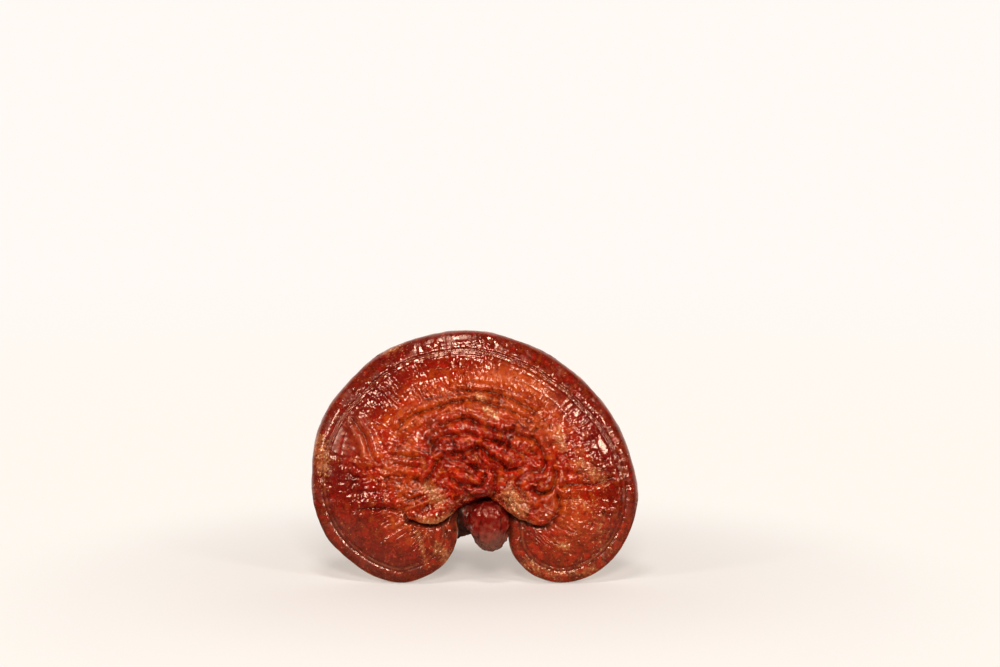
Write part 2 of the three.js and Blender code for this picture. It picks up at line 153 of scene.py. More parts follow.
# Stains of the face: width, then points across and up with the stain's strength there
STAINS = {
    "orange": [
        (5, [
            (-26.7, 66, 0.3), (-16.4, 69.5, 0.4), (-1.7, 72.4, 0.6), (11.2, 74.6, 1), (22.3, 70.6, 1),
            (27.8, 65, 0.8),
        ]),
        (6, [(-25.6, 57.6, 0.8), (-12.7, 65, 0.7), (2, 67.5, 0.8), (16.7, 63.8, 0.9), (25.9, 55.7, 0.8)]),
        (4, [(-44, 60, 0.3), (-40, 52, 0.4), (-37.7, 46.6, 0.5)]),
        (5, [(-29, 42, 0.6), (-24, 33, 0.7), (-28, 21, 0.25), (-18, 19, 0.25)]),
        (7, [(31.5, 30, 0.6), (36, 20, 0.5), (31.5, 11.6, 0.15)]),
        (2.6, [(-25.4, 46.5, 1), (-23.6, 49, 1)]),
    ],
    "dark": [
        (5.5, [(-49, 39, 0.9), (-42, 33, 1), (-34.8, 28, 0.8)]),
        (5, [(-47, 61, 0.7), (-38, 68, 0.9), (-29, 74, 0.7)]),
        (5, [(31, 68, 0.6), (40, 62, 0.8), (46, 56, 0.6)]),
        (4.5, [(42, 52, 0.7), (50, 45, 0.7)]),
        (8, [(-46, 17, 0.6), (-36, 9, 0.8), (-22, 6, 0.7)]),
        (1.5, [(-16.4, 58.4, 0.9), (-14.6, 59, 0.9)]),
        (3.5, [(0.6, 31.4, 0.7), (5, 33, 0.7)]),
        (4, [(-35, 83, 0.6), (-18, 87, 0.6), (0, 87.5, 0.4)]),
    ],
    "tan": [
        (2.8, [(-17, 35, 1), (-13, 31, 1)]),
        (1.5, [(-19, 24.6, 0.8), (-14, 24.4, 1), (-9.8, 26.4, 0.7)]),
        (3.2, [(13.4, 33, 1.1), (14.8, 30, 1.3), (18, 28.2, 1)]),
        (1.8, [(4.4, 63.4, 1.2), (7.8, 60.8, 1.2)]),
        (1.8, [(1.3, 68.4, 1), (3, 67, 1)]),
        (3, [(-12.4, 71, 0.5), (-9.6, 68, 0.5)]),
        (2.2, [(30.6, 55.4, 0.9), (32.4, 49, 0.9)]),
        (1.6, [(31.4, 13.8, 1.1), (33.4, 13, 1.1)]),
        (4, [(38.8, 44, 0.7), (46, 38, 0.7)]),
        (5, [(37, 30, 0.5), (45, 24, 0.5), (46, 12, 0.4)]),
        (3.4, [(-57, 52, 0.7), (-55, 42, 0.8)]),
        (3, [(-34, 85.5, 0.7), (-27.4, 87, 0.6)]),
        (1.6, [(-20.8, 19, 0.7), (-19, 12, 0.7), (-17.4, 6, 0.5)]),
        (2.6, [(-13, 13.4, 0.8), (-10.4, 9, 0.7)]),
        (2.6, [(18, 7, 0.6), (30, 3, 0.6), (43, 5, 0.6)]),
    ],
}

# Seeds of the noises
SEEDS = dict(
    bend=3, uneven=5, rings=11, knobs=12, rays=13, fine=14, dust=15, margin=21,
    bands=31, streaks=32, spots=33, hues=34, wobble=41, fine_wobble=42, pores=51,
)

# How far noise bends the face's pattern: in the plane, finely, round the cap and along its growth
BEND_PLACE, BEND_FINE, BEND_ROUND, BEND_GROWTH = 0.9, 0.4, 0.0035, 0.014

# How high each kind of fold stands, in mm
FOLD = dict(
    cross=1.2, ring=0.3, ring_arch=1.1, knob=0.5, knob_middle=0.6, ray=0.7, pleat=0.9,
    pleat_least=0.05, crumple=2.6, puff=0.35, ring_puff=0.4, lip=0.9, crinkle=0.22,
    crinkle_middle=0.5, crinkle_rough=0.4, crinkle_lip=0.9, dimple=0.1, dimple_rough=0.16,
    dimple_middle=0.07, pair=0.5, faint=0.18, lines=0.06, strokes=0.42, roll=0.35,
)
FOLD_MEAN = 0.29

# How much less the finest pleats change along the rays than round the cap
PLEAT_STRETCH = 0.056

FAR = 99.0


class Noise:
    """Seeded smooth noise on a plane, about -1 to 1, that may repeat across x."""

    SIZE = 256

    def __init__(self, name):
        rng = np.random.RandomState(SEEDS[name])
        turn = rng.uniform(0, 2 * math.pi, self.SIZE)
        self.slope_x = np.cos(turn)
        self.slope_y = np.sin(turn)
        self.order = rng.permutation(self.SIZE)
        self.spots = rng.uniform(0, 1, (self.SIZE, 2))

    def corner(self, x, y, period):
        if period:
            x = x % period
        return self.order[(self.order[x % self.SIZE] + y) % self.SIZE]

    def at(self, x, y, period=None):
        left = np.floor(x).astype(int)
        low = np.floor(y).astype(int)
        dx = x - left
        dy = y - low
        ease_x = dx * dx * dx * (dx * (6 * dx - 15) + 10)
        ease_y = dy * dy * dy * (dy * (6 * dy - 15) + 10)

        def push(i, j):
            key = self.corner(left + i, low + j, period)
            return self.slope_x[key] * (dx - i) + self.slope_y[key] * (dy - j)

        bottom = push(0, 0) + ease_x * (push(1, 0) - push(0, 0))
        top = push(0, 1) + ease_x * (push(1, 1) - push(0, 1))
        return 1.5 * (bottom + ease_y * (top - bottom))

    def layers(self, x, y, count=3, period=None):
        total = 0
        for k in range(count):
            step = 2 ** k
            total = total + self.at(x * step, y * step, period and period * step) / step
        return total / (2 - 2 ** (1 - count))

    def round(self, around, count, y, layers=2, shift=0):
        """Noise round the cap that closes on itself, with about count features in a turn."""
        return self.layers(around * count + shift, y, layers, period=count)

    def cells(self, x, y, period=None):
        """Distances to the nearest and the second nearest of scattered spots."""
        left = np.floor(x).astype(int)
        low = np.floor(y).astype(int)
        first = np.full(x.shape, 9.0)
        second = np.full(x.shape, 9.0)
        for i in (-1, 0, 1):
            for j in (-1, 0, 1):
                spot = self.spots[self.corner(left + i, low + j, period)]
                away = np.hypot(left + i + spot[..., 0] - x, low + j + spot[..., 1] - y)
                second = np.minimum(second, np.maximum(first, away))
                first = np.minimum(first, away)
        return first, second


def gaussian(x):
    return np.exp(-x * x)


def smooth(x):
    t = np.clip(x, 0, 1)
    return t * t * (3 - 2 * t)


def mix(a, b, t):
    return a + (b - a) * t


def curve_points(points, steps, closed=False):
    """A smooth line through points, as many samples for each stretch as steps says."""
    p = np.array(points, float)
    count = len(p) if closed else len(p) - 1
    samples = []
    for i in range(count):
        if closed:
            p0, p1, p2, p3 = (p[(i + k) % len(p)] for k in (-1, 0, 1, 2))
        else:
            p1, p2 = p[i], p[i + 1]
            p0 = p[i - 1] if i else 2 * p1 - p2
            p3 = p[i + 2] if i + 2 < len(p) else 2 * p2 - p1
        t = (np.arange(steps[i]) / steps[i])[:, None]
        out, into = (p2 - p0) / 2, (p3 - p1) / 2
        samples.append(
            p1 + out * t + (3 * (p2 - p1) - 2 * out - into) * t ** 2 + (2 * (p1 - p2) + out + into) * t ** 3
        )
    if not closed:
        samples.append(p[-1:])
    return np.concatenate(samples)


def even_curve(points, steps):
    return curve_points(points, [steps] * (len(points) - 1))


def line_points(points, spacing=0.8):
    p = np.array(points, float)[:, :2]
    steps = [max(2, round(math.dist(a, b) / spacing)) for a, b in zip(p, p[1:])]
    return curve_points(points, steps)


def nearest(line, u, v, reach=None):
    """How far each point is from a line, on which side, and what the line is at the nearest place."""
    found = {name: np.zeros(u.shape) for name in ("side", "along", "u", "v", "third")}
    found["away"] = np.full(u.shape, FAR)
    near = np.arange(u.size)
    if reach:
        low, high = line[:, :2].min(0) - reach, line[:, :2].max(0) + reach
        near = np.flatnonzero((u > low[0]) & (u < high[0]) & (v > low[1]) & (v < high[1]))
    x, y = u[near], v[near]
    best = {name: value[near] for name, value in found.items()}
    start = 0.0
    for a, b in zip(line, line[1:]):
        du, dv = b[0] - a[0], b[1] - a[1]
        length = math.hypot(du, dv)
        t = np.clip(((x - a[0]) * du + (y - a[1]) * dv) / length ** 2, 0, 1)
        foot_u, foot_v = a[0] + t * du, a[1] + t * dv
        away = np.hypot(x - foot_u, y - foot_v)
        here = {"away": away, "side": du * (y - a[1]) - dv * (x - a[0]), "along": start + t * length,
                "u": foot_u, "v": foot_v, "third": a[-1] + t * (b[-1] - a[-1])}
        closer = away < best["away"]
        for name, value in here.items():
            best[name][closer] = value[closer]
        start += length
    for name, value in best.items():
        found[name][near] = value
    found["length"] = start
    return found


def soft_third(line, u, v, spread):
    """The third value of a line about each point, blended over the line's samples."""
    total, weights = np.zeros(u.shape), np.zeros(u.shape)
    for a in line:
        weight = ((u - a[0]) ** 2 + (v - a[1]) ** 2 + spread ** 2) ** -3.0
        total += weight * a[2]
        weights += weight
    return total / weights


def ellipse(form, u, v):
    return ((u - form["centre"][0]) / form["across"]) ** 2 + ((v - form["centre"][1]) / form["up"]) ** 2


def add_object(name, data):
    made = bpy.data.objects.new(name, data)
    bpy.context.scene.collection.objects.link(made)
    return made


def add_attribute(piece, name, values):
    data = piece.data.attributes.new(name, "FLOAT", "POINT")
    data.data.foreach_set("value", np.asarray(values, np.float32))


# The outline, finely sampled, and how long it is up to each sample
FINE = 24
OUTLINE_STEP = 0.3
dense = curve_points(OUTLINE, [FINE] * len(OUTLINE), closed=True)
dense = np.vstack([dense, dense[:1]])
run = np.concatenate([[0], np.cumsum(np.hypot(*np.diff(dense, axis=0).T))])
GIRTH = run[-1]


def outline_at(length):
    return np.stack([np.interp(length, run, dense[:, k]) for k in (0, 1)], -1)


def along_outline(share):
    """Places on the outline, and the directions that lead inward from them."""
    here = share * GIRTH
    tangent = outline_at((here + OUTLINE_STEP) % GIRTH) - outline_at((here - OUTLINE_STEP) % GIRTH)
    tangent /= np.hypot(*tangent.T)[:, None]
    return outline_at(here), np.stack([tangent[:, 1], -tangent[:, 0]], -1)


def sector_shares(count):
    """Shares of the outline, closer together near the centre."""
    share = np.linspace(0, 1, 4001)
    place, _ = along_outline(share % 1)
    away = np.hypot(place[:, 0] - CENTRE[0], place[:, 1] - CENTRE[1])
    weight = (30 / (away + 12)) ** 0.7
    total = np.concatenate([[0], np.cumsum((weight[1:] + weight[:-1]) / 2)])
    return np.interp(np.arange(count) / count * total[-1], total, share)


def ray_points(edge, inner, q):
    """Points at shares q of the bent growth rays that end at the inner points."""
    start = np.array(CENTRE)
    middle = (start + inner) / 2
    for pivot, lobe in BENDS:
        pull = gaussian(np.hypot(*(edge - np.array(lobe)).T) / BEND_REACH)[:, None]
        middle = mix(middle, np.array(pivot), pull)
    t = q[:, None, None]
    return (1 - t) ** 2 * start + 2 * t * (1 - t) * middle + t ** 2 * inner


MARGIN = 9.5
MARGIN_SHARE = 0.45
WOBBLE = (0.45, 0.16)
WOBBLE_RISE = 8
shares = sector_shares(SECTORS)
edge, inward = along_outline(shares)
wobble = WOBBLE[0] * Noise("wobble").round(shares, 30, 0)
wobble += WOBBLE[1] * Noise("fine_wobble").round(shares, 110, 0)
edge = edge + inward * (wobble * smooth(edge[:, 1] / WOBBLE_RISE))[:, None]
room = np.minimum(1, MARGIN_SHARE * np.hypot(*(edge - np.array(CENTRE)).T) / MARGIN)
inner = edge + inward * (MARGIN * room)[:, None]

# Rings of the cap: how many lie on the rays, the margin and the rim, and where sectors are skipped
FACE_RAY, FACE_MARGIN, RIM_TURN = 122, 18, 7
PORE_MARGIN, PORE_RAY = 7, 20
SKIP_FOUR, SKIP_TWO = 0.24, 0.58


def margin_rings(depths):
    return np.stack([edge + inward * (depth * room)[:, None] for depth in depths])


def rim_rings(angles):
    return np.stack([edge + inward * (RIM * (1 - math.cos(a))) for a in angles])


def grid_rings():
    """Rings from the middle of the face over the rim to the middle of the pore side."""
    q_face = np.linspace(0.012, 1, FACE_RAY)
    q_pore = np.linspace(1, 0.03, PORE_RAY)
    turns = np.linspace(math.pi / 2, 0, RIM_TURN)
    near = RIM * 1.03
    skip_face = np.where(q_face < SKIP_FOUR, 4, np.where(q_face < SKIP_TWO, 2, 1))
    groups = [
        (ray_points(edge, inner, q_face), 1, skip_face),
        (margin_rings(np.linspace(MARGIN, near, FACE_MARGIN)[1:]), 1, 1),
        (rim_rings(turns[1:-1]), 1, 1),
        (rim_rings([0]), 0, 1),
        (rim_rings(turns[::-1][1:-1]), -1, 1),
        (margin_rings(np.linspace(near, MARGIN, PORE_MARGIN)[:-1]), -1, 2),
        (ray_points(edge, inner, q_pore), -1, 4),
    ]
    places = np.concatenate([g[0] for g in groups])
    side = np.concatenate([np.full(len(g[0]), g[1]) for g in groups])
    skip = np.concatenate([g[2] * np.ones(len(g[0]), int) for g in groups])
    return places, side, skip


def ring_faces(skip, count):
    """Faces between rings whose sectors thin out two to one, with a point at each end."""
    sizes = [count // k for k in skip]
    starts = np.concatenate([[1], 1 + np.cumsum(sizes)])
    faces = [(0, 1 + (j + 1) % sizes[0], 1 + j) for j in range(sizes[0])]
    for k in range(len(sizes) - 1):
        a, b, n, m = starts[k], starts[k + 1], sizes[k], sizes[k + 1]
        for j in range(min(n, m)):
            if n == m:
                faces.append((a + (j + 1) % n, b + (j + 1) % m, b + j, a + j))
            elif n < m:
                right, mid, end = a + (j + 1) % n, b + 2 * j + 1, b + (2 * j + 2) % m
                faces += [(mid, b + 2 * j, a + j), (right, mid, a + j), (end, mid, right)]
            else:
                mid, end, right = a + 2 * j + 1, a + (2 * j + 2) % n, b + (j + 1) % m
                faces += [(mid, b + j, a + 2 * j), (right, b + j, mid), (end, right, mid)]
    last = starts[-1]
    faces += [(starts[-2] + j, starts[-2] + (j + 1) % sizes[-1], last) for j in range(sizes[-1])]
    return [tuple(int(i) for i in face) for face in faces]


class Cap:
    """The cap's points: place in the plane, side, depth inside the outline and share of growth."""

    def __init__(self):
        places, side, skip = grid_rings()
        self.skip = skip
        middle = np.array([CENTRE])
        picked = [row[::step] for row, step in zip(places, skip)]
        around = [shares[::step] for step in skip]
        self.u, self.v = np.concatenate([middle, *picked, middle]).T
        self.side = np.concatenate([[1], *[np.full(len(x), s) for x, s in zip(picked, side)], [-1]])
        self.around = np.concatenate([[0], *around, [0]])
        self.depth = nearest(dense[::2], self.u, self.v)["away"]
        self.depth[self.side == 0] = 0
        reach = np.hypot(self.u - CENTRE[0], self.v - CENTRE[1])
        self.growth = reach / (reach + self.depth)


def rim_height(depth):
    out = np.maximum(RIM - depth, 0)
    return np.sqrt(np.maximum(RIM * RIM - out * out, 0))


def creases(u, v):
    """How deep the creases cut, how the ridges beside them swell, and how dark the painted shade at their
    feet is.
    """
    cut, swell, shade = (np.zeros(u.shape) for _ in range(3))
    uneven = 0.75 + 0.5 * Noise("uneven").layers(u / 3.5, v / 3.5, 2)
    for depth, width, points in CREASES.values():
        line = nearest(line_points(points), u, v, reach=CREASE_REACH)
        away, along = line["away"], line["along"]
        fade = smooth(CREASE_END + np.minimum(along, line["length"] - along) / CREASE_FADE)
        cut = np.maximum(cut, CREASE_DEPTH * depth * fade * uneven * np.exp(-away / (CREASE_WIDTH * width)))
        swell = np.maximum(swell, PILLOW * depth * fade * gaussian((away - PILLOW_AWAY) / PILLOW_WIDTH))
        shade = np.maximum(shade, fade * uneven * min(1, FOOT_SHADE * depth) * gaussian(away / FOOT_WIDTH))
    return cut, swell, shade


lip_line = even_curve(LIP, 6)


def stain(name, u, v):
    mask = np.zeros(u.shape)
    for width, points in STAINS[name]:
        line = nearest(even_curve(points, 4), u, v, reach=3 * width)
        mask = np.maximum(mask, line["third"] * gaussian(line["away"] / width))
    return mask


def puffs(noise, x, y, period=None):
    """Small cushions about 0 with narrow creases between them, and the creases themselves."""
    first, second = noise.cells(x, y, period)
    gap = second - first
    return 0.4 - np.exp(-gap / 0.22), gaussian(gap / 0.08)


def folds(noise):
    """Rounded folds about 0 with a narrow crease wherever the noise crosses 0."""
    away = np.abs(noise)
    return 0.7 * away + 0.22 * (1 - np.exp(-away / 0.1)) - FOLD_MEAN


def blots(patches, u, v):
    return sum(amount * gaussian(np.hypot(u - x, v - y) / radius) for x, y, radius, amount in patches)


class Face:
    """The relief of the cap's face, in mm, and the masks that its colours and its painted shade need."""

    def __init__(self, cap):
        u, v = cap.u, cap.v
        bend = Noise("bend")

        def bent(values, reach, size, shift, layers=3):
            return values + reach * bend.layers(u / size + shift, v / size, layers)

        self.u, self.v = bent(u, BEND_PLACE, 6, 0), bent(v, BEND_PLACE, 6, 40)
        self.around = bent(cap.around, BEND_ROUND, 5, 80)
        self.growth = bent(cap.growth, BEND_GROWTH, 5, 120)
        jagged_u, jagged_v = bent(self.u, BEND_FINE, 1.7, 7, 2), bent(self.v, BEND_FINE, 1.7, 91, 2)
        self.middle = np.exp(-ellipse(KNOBBLY, u, v))
        self.lobes = smooth((30 - v) / 10)
        self.add_lip()
        self.add_wrinkles(cap)
        self.add_tones(cap)
        cut, swell, self.shade = creases(jagged_u, jagged_v)
        mound = MOUND["height"] * np.exp(-ellipse(MOUND, u, v))
        lumps = blots(LUMPS, self.u, self.v)
        self.relief = mound + lumps + self.lip + swell - cut + self.wrinkle

    def add_lip(self):
        line = nearest(lip_line, self.u, self.v)
        stand = soft_third(lip_line[::2], self.u, self.v, 2.5)
        away = line["away"]
        groove = stand * LIP_GROOVE * gaussian(away / LIP_GROOVE_WIDTH)
        rise = stand * (1 - np.exp(-away / LIP_ROUND)) * np.exp(-away / LIP_REACH)
        above = line["side"] >= 0
        self.lip = np.where(above, rise, 0) - groove
        pull = LIP_HANG * stand * (away / LIP_HANG_REACH) * np.exp(1 - away / LIP_HANG_REACH)
        pull = np.where(above, pull, 0) / np.maximum(away, 0.01)
        self.hang_u = pull * (line["u"] - self.u)
        self.hang_v = pull * (line["v"] - self.v)
        # Painted shadow under the lip's overhang, with a thin band of it on the lip's turned-under edge
        under = np.where(above, gaussian(away / 0.8), smooth((UNDER_LIP - away) / UNDER_LIP_FADE))
        self.lip_shadow = under * smooth(stand / 3)
        self.on_lip = np.where(above, gaussian((away - 2.5) / 3), 0) * smooth(stand / 3)
        # A pale line just inside the lip's crest: partly tan, partly a painted highlight
        self.lip_crest_tan_and_highlight = np.where(above, gaussian((away - 1.5) / 0.5), 0) * smooth(stand - 3.4)

    def add_wrinkles(self, cap):
        """Puffy folds with narrow creases, from wide concentric ones down to a fine crinkle."""
        u, v, growth, around, depth = self.u, self.v, self.growth, self.around, cap.depth
        rings, knobs, rays, fine, dust = (Noise(name) for name in ("rings", "knobs", "rays", "fine", "dust"))
        ring = rings.round(around, 18, growth * 17)
        knob = knobs.layers(u / 4.4, v / 3.9, 3)
        pleat_near = rays.round(around, 60, growth * 5 + 9)
        pleat_far = rays.round(around, 150, growth * 3)
        inner_crumple = knobs.layers(u / 3.4 + 60, v / 2.8, 2)
        crumple = mix(inner_crumple, fine.round(around, 64, growth * 9), smooth((growth - 0.45) / 0.2))
        crinkle = dust.layers(u / 1.9, v / 1.9, 2)
        dimple = fine.layers(u / 1.3 + 31, v / 1.3, 2)
        puff, puff_edge = puffs(knobs, u / 2.7, v / 2.3)
        ring_puff, ring_edge = puffs(rings, around * 52, growth * 22, 52)
        off_centre = smooth((growth - 0.1) / 0.25)
        arch = smooth((v - 36) / 14)
        zone = off_centre * smooth((0.74 - growth) / 0.2)
        self.open = smooth((np.hypot(u - NOTCH[0][0], v - NOTCH[0][1]) - NOTCH_CROWD) / NOTCH_FADE)
        pleated = smooth((growth - 0.5) / 0.15) * smooth((depth - 6.5) / 3)
        rough = np.minimum(blots(ROUGH, u, v), 1)
        self.matte = np.minimum(blots(CALM, u, v), 1)
        calm = 1 - np.minimum(self.matte, 0.85)
        vigour = smooth(0.5 + 1.3 * fine.layers(u / 9 + 70, v / 9, 2))
        calm *= 0.35 + 0.9 * np.maximum(vigour, 0.6 * self.middle)
        inner_across = rays.round(around, 42, growth * 14 + 30, 2, 11)
        outer_across = rays.round(around, 90, growth * 12 + 30, 2, 11)
        across = mix(inner_across, outer_across, smooth((growth - 0.3) / 0.15))
        cross = zone * arch * smooth(0.5 + 1.5 * knobs.layers(u / 5 + 33, v / 5, 2))
        ring_high = FOLD["ring_arch"] * zone * (0.3 + 0.7 * arch)
        ring_high += FOLD["ring"] * off_centre * (1 - 0.8 * pleated)
        knob_high = FOLD["knob_middle"] * self.middle + FOLD["knob"] * (1 - pleated)
        crinkle_high = FOLD["crinkle"] * (1 - 0.7 * pleated) + FOLD["crinkle_rough"] * rough
        dimple_high = FOLD["dimple"] + FOLD["dimple_rough"] * rough + FOLD["dimple_middle"] * self.middle
        pleat_high = FOLD["pleat_least"] + FOLD["pleat"] * vigour
        parts = [
            (FOLD["cross"] * cross, folds(across)),
            (ring_high, folds(ring)),
            (knob_high * (1 - 0.5 * cross), folds(knob)),
            (FOLD["ray"] * zone * self.open, pleat_near),
            (pleat_high * pleated, 1.1 * pleat_far + 0.2 * folds(crinkle)),
            (FOLD["crumple"] * rough, folds(crumple)),
            (FOLD["puff"] * self.middle, puff),
            (FOLD["ring_puff"] * zone * arch, ring_puff),
            (FOLD["crinkle_middle"] * self.middle, folds(crinkle)),
            (crinkle_high + FOLD["crinkle_lip"] * self.on_lip, folds(crinkle)),
            (dimple_high, folds(dimple)),
            (FOLD["lip"] * self.on_lip, folds(knobs.layers(u / 2.6 + 20, v / 2.2, 2))),
        ]
        self.wrinkle = calm * sum(high * form for high, form in parts)
        self.crest = self.wrinkle
        lines = [
            gaussian(ring / 0.06) * zone * arch, gaussian(knob / 0.06) * self.middle,
            0.4 * puff_edge * self.middle, 0.5 * ring_edge * zone * arch, gaussian(crumple / 0.05) * rough,
            0.8 * gaussian(across / 0.07) * cross,
        ]
        self.fold_shade = 0.5 * np.max(lines, axis=0) * calm
        self.add_margin(cap)

    def add_tones(self, cap):
        """Uneven light and dark: growth bands, radial streaks and blots."""
        growth, around = cap.growth, cap.around
        bands, streaks, spots, hues = (Noise(name) for name in ("bands", "streaks", "spots", "hues"))
        outer = smooth((growth - 0.35) / 0.3)
        band = bands.round(around, 12, growth * 24, 3)
        streak = streaks.round(around, 120, growth * 7)
        spot = spots.layers(self.u / 2.2, self.v / 2.2, 3)
        self.tone = 0.55 * outer * band + 0.5 * streak * outer * self.open + 0.85 * spot
        self.hue = hues.layers(self.u / 2.8, self.v / 2.8, 3)

    def add_margin(self, cap):
        """The rolled margin: a pair of grooves that runs round inside it, and fine growth lines."""
        wave, around, depth = Noise("margin"), cap.around, cap.depth
        drift = 0.5 * wave.round(around, 22, 0)
        inside = mix(GROOVE_NEAR, GROOVE_FAR, smooth((cap.v - 40) / 35)) + drift
        pair = gaussian((depth - inside) / GROOVE_WIDTH)
        pair += 0.8 * gaussian((depth - inside - GROOVE_GAP) / GROOVE_WIDTH)
        lines = wave.round(around, 30, depth / 0.9, 1, 5)
        faint = sum(gaussian((depth - place - 1.3 * drift) / 0.32) for place in GROWTH_LINES)
        faint *= smooth(0.5 + 1.1 * wave.round(around, 14, depth / 4 + 20, 1))
        near = smooth((inside + 1 - depth) / 2)
        strokes = wave.round(around, 190, depth / 5 + 9)
        strokes *= smooth(0.5 + 1.4 * wave.round(around, 24, depth / 3 + 40, 2, 3))
        roll = gaussian((depth - inside + 2.2) / 2)
        self.wrinkle = self.wrinkle - FOLD["pair"] * pair - FOLD["faint"] * faint
        self.wrinkle += near * (FOLD["lines"] * lines + FOLD["strokes"] * strokes)
        self.wrinkle += FOLD["roll"] * roll
        # The grooves and growth lines are also darkened with painted shade
        self.groove = np.maximum(pair, 0.7 * faint)
        beads = smooth(0.45 + 1.7 * wave.round(around, 34, 3.4, 4))
        # A pale line at the very rim; a faint painted highlight on the ridge between the pair of grooves;
        # and the lip's crest line
        self.edge = 0.8 * gaussian(depth / 0.2) + 0.14 * gaussian((depth - inside - 0.67) / 0.35)
        self.edge *= beads * smooth(2 - blots(NOTCH, self.u, self.v))
        self.edge = np.maximum(self.edge, self.lip_crest_tan_and_highlight * 0.6 * beads)


def pore_relief(cap):
    """Low waves on the pore side: growth rings, and folds that run out from the stem."""
    waves = Noise("pores")
    ring = waves.round(cap.around, 6, cap.growth * 9)
    ray = waves.round(cap.around, 26, cap.growth * 3 + 20)
    dents = waves.layers(cap.u / 5 + 50, cap.v / 5, 2)
    return 0.45 * ring + 0.4 * ray * smooth((0.8 - cap.growth) / 0.4) + 0.25 * dents


def build_cap():
    cap = Cap()
    face = Face(cap)
    dome = DOME["height"] * (1 - ellipse(DOME, cap.u, cap.v))
    inside = np.maximum(cap.depth - RIM, 0)
    front = dome + rim_height(cap.depth) + FACE_SWELL * (1 - np.exp(-inside / FACE_REACH))
    front = front + face.relief * smooth(cap.depth / RIM)
    pore = dome - rim_height(cap.depth) - PORE_SWELL * (1 - np.exp(-inside / PORE_REACH))
    pore = pore + pore_relief(cap) * smooth(cap.depth / RIM)
    n = np.where(cap.side > 0, front, np.where(cap.side < 0, pore, dome))
    lift = np.where(cap.side > 0, smooth(cap.depth / RIM), 0)
    u, v = cap.u + face.hang_u * lift, cap.v + face.hang_v * lift
    lean_v = np.array([0, math.sin(CAP_LEAN), math.cos(CAP_LEAN)])
    lean_n = np.array([0, -math.cos(CAP_LEAN), math.sin(CAP_LEAN)])
    points = np.outer(u, [1, 0, 0]) + np.outer(v, lean_v) + np.outer(n, lean_n)
    points += np.array([0, STAND_Y, CAP_RISE])
    points[:, 2] = np.maximum(points[:, 2], 0)
    mesh = bpy.data.meshes.new("cap_crust")
    mesh.from_pydata((points * MM).tolist(), [], ring_faces(cap.skip, SECTORS))
    mesh.validate()
    mesh.shade_smooth()
    piece = add_object("cap_crust", mesh)
    plain = ("crest", "matte", "open", "middle", "lobes", "tone", "hue")
    values = {name: getattr(face, name) for name in plain}
    values["growth"] = cap.growth
    # Painted shade: at the feet of the creases, under the lips, along the fold lines and in the margin's
    # grooves
    values["shade"] = np.maximum.reduce([face.shade, face.lip_shadow, face.fold_shade, 0.5 * face.groove])
    values["edge"] = np.where(cap.side >= 0, face.edge, 0)
    for name in STAINS:
        values[name] = stain(name, face.u, face.v)
    for name, value in values.items():
        add_attribute(piece, name, value)
    turn = 2 * math.pi * cap.around
    strip = np.stack([np.cos(turn), np.sin(turn), 2 * math.pi * PLEAT_STRETCH * cap.growth], -1)
    place = mesh.attributes.new("strip", "FLOAT_VECTOR", "POINT")
    place.data.foreach_set("vector", (strip * GIRTH / (2 * math.pi)).astype(np.float32).ravel())
    sides = np.where(cap.side < 0, 1, 0)
    corner = np.empty(len(mesh.loops), int)
    mesh.loops.foreach_get("vertex_index", corner)
    starts = np.empty(len(mesh.polygons), int)
    mesh.polygons.foreach_get("loop_start", starts)
    pore_side = np.maximum.reduceat(sides[corner], starts)
    mesh.polygons.foreach_set("material_index", pore_side.astype(np.int32))
    return piece


# The stalk, from the cap to its cut foot: across, back, up and radius
STALK = [
    (3, 0, 31.5, 10.5), (2.2, 8, 30, 12.8), (0.2, 16, 25.6, 9.9), (-3.2, 27, 20.2, 8), (-9.2, 40, 14.4, 6.7),
    (-15.2, 50.5, 7, 6.8), (-18.6, 57, -4, 7.8),
]
STALK_SIDES = 48
FLUTE = {"count": 3, "depth": 0.05, "twist": 0.9}

# The knob in the notch, its shoulders and the seam between them
BALLS = [
    {"centre": (5.8, -0.6, 20.2), "radii": (7.1, 8.2, 8.6)},
    {"centre": (5.4, -2.6, 25.4), "radii": (6.8, 7, 6)},
    {"centre": (1.0, -1.6, 22.2), "radii": (3.0, 6.6, 6.2)},
    {"centre": (10.4, -1.2, 22.4), "radii": (2.8, 6.2, 5.2)},
]
BALL_SEAM = 0.1
STEM_VOXEL = 0.42
STEM_RELAX = (0.5, 12)

# How high the stem's folds stand, in mm, and how fast its grooves change across, back and up
STEM_FOLD = {"swell": 0.7, "groove": 0.9, "knob_groove": 1.0, "fine": 0.18, "seam": 0.5, "dent": 0.4}
STALK_GRAIN = np.array([1, 0.3, 0.45])
KNOB_GRAIN = np.array([1, 1, 0.35])

# The foot: where its folds begin, what is flattened to the ground, and which faces are cut
FOOT_START, FOOT_FADE, FOOT_FLAT = 0.6, 3, 0.35
CUT_HEIGHT, CUT_SLOPE = 0.3, -0.7


def stalk_rings():
    line = even_curve(STALK, 10)
    tangents = np.gradient(line[:, :3], axis=0)
    tangents /= np.linalg.norm(tangents, axis=1)[:, None]
    normal = np.array([1.0, 0, 0])
    turn = np.arange(STALK_SIDES) / STALK_SIDES * 2 * math.pi
    rings = []
    for k, (point, tangent) in enumerate(zip(line, tangents)):
        normal = normal - tangent * (normal @ tangent)
        normal /= np.linalg.norm(normal)
        across = np.cross(tangent, normal)
        flute = 1 + FLUTE["depth"] * np.cos(FLUTE["count"] * turn + FLUTE["twist"] * k / 10)
        radius = (point[3] * flute)[:, None]
        rings.append(point[:3] + radius * (np.outer(np.cos(turn), normal) + np.outer(np.sin(turn), across)))
    return rings


